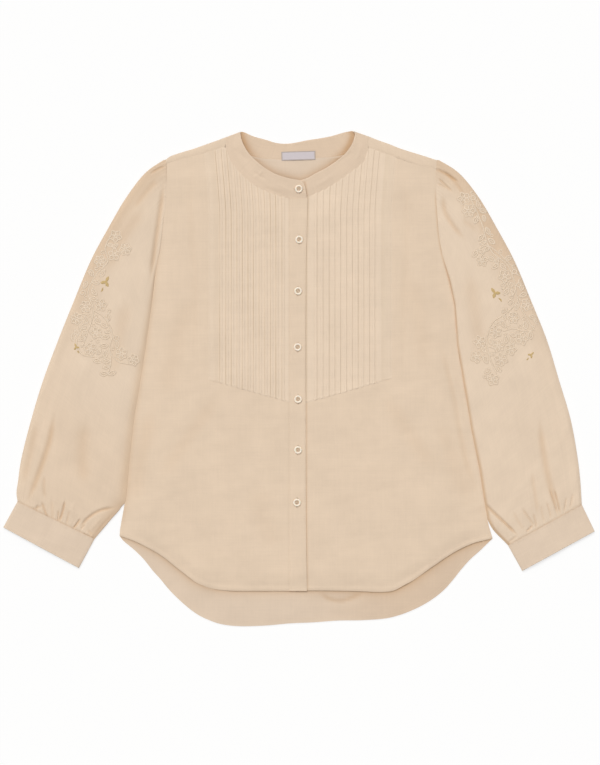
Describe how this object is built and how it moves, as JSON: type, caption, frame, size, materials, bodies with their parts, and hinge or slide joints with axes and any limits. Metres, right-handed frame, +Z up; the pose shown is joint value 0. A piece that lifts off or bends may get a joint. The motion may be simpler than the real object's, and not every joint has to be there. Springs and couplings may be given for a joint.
{
  "type": "blouse",
  "caption": "Loose long-sleeved blouse laid flat, with a band collar, a buttoned placket, a tucked bib, gathered sleeves with cuffs, embroidery and a curved hem.",
  "frame": {"origin": "middle of the floor area that the laid blouse covers, on the floor", "axes": "+Z up from the floor through the front of the blouse, +Y toward the neck, +X toward the viewer's right across both sleeves"},
  "size_m": [0.8285, 0.6939, 0.0093],
  "materials": {
    "back_cloth": "matt cotton",
    "front_cloth": "matt cotton",
    "bib_cloth": "matt cotton",
    "placket_cloth": "matt cotton",
    "band_cloth": "matt cotton",
    "sleeve_cloth": "matt cotton",
    "cuff_cloth": "matt cotton",
    "label": "woven satin",
    "button": "pearl gloss"
  },
  "bodies": {
    "root": {"back": "back_cloth", "front_left": "front_cloth", "front_right": "front_cloth", "bib_left": "bib_cloth", "bib_right": "bib_cloth", "placket": "placket_cloth", "collar_band": "band_cloth", "neck_label": "label", "sleeve_left": "sleeve_cloth", "sleeve_right": "sleeve_cloth", "cuff_left": "cuff_cloth", "cuff_right": "cuff_cloth", "button_1": "button", "button_2": "button", "button_3": "button", "button_4": "button", "button_5": "button", "button_6": "button", "button_7": "button"}
  },
  "joints": []
}
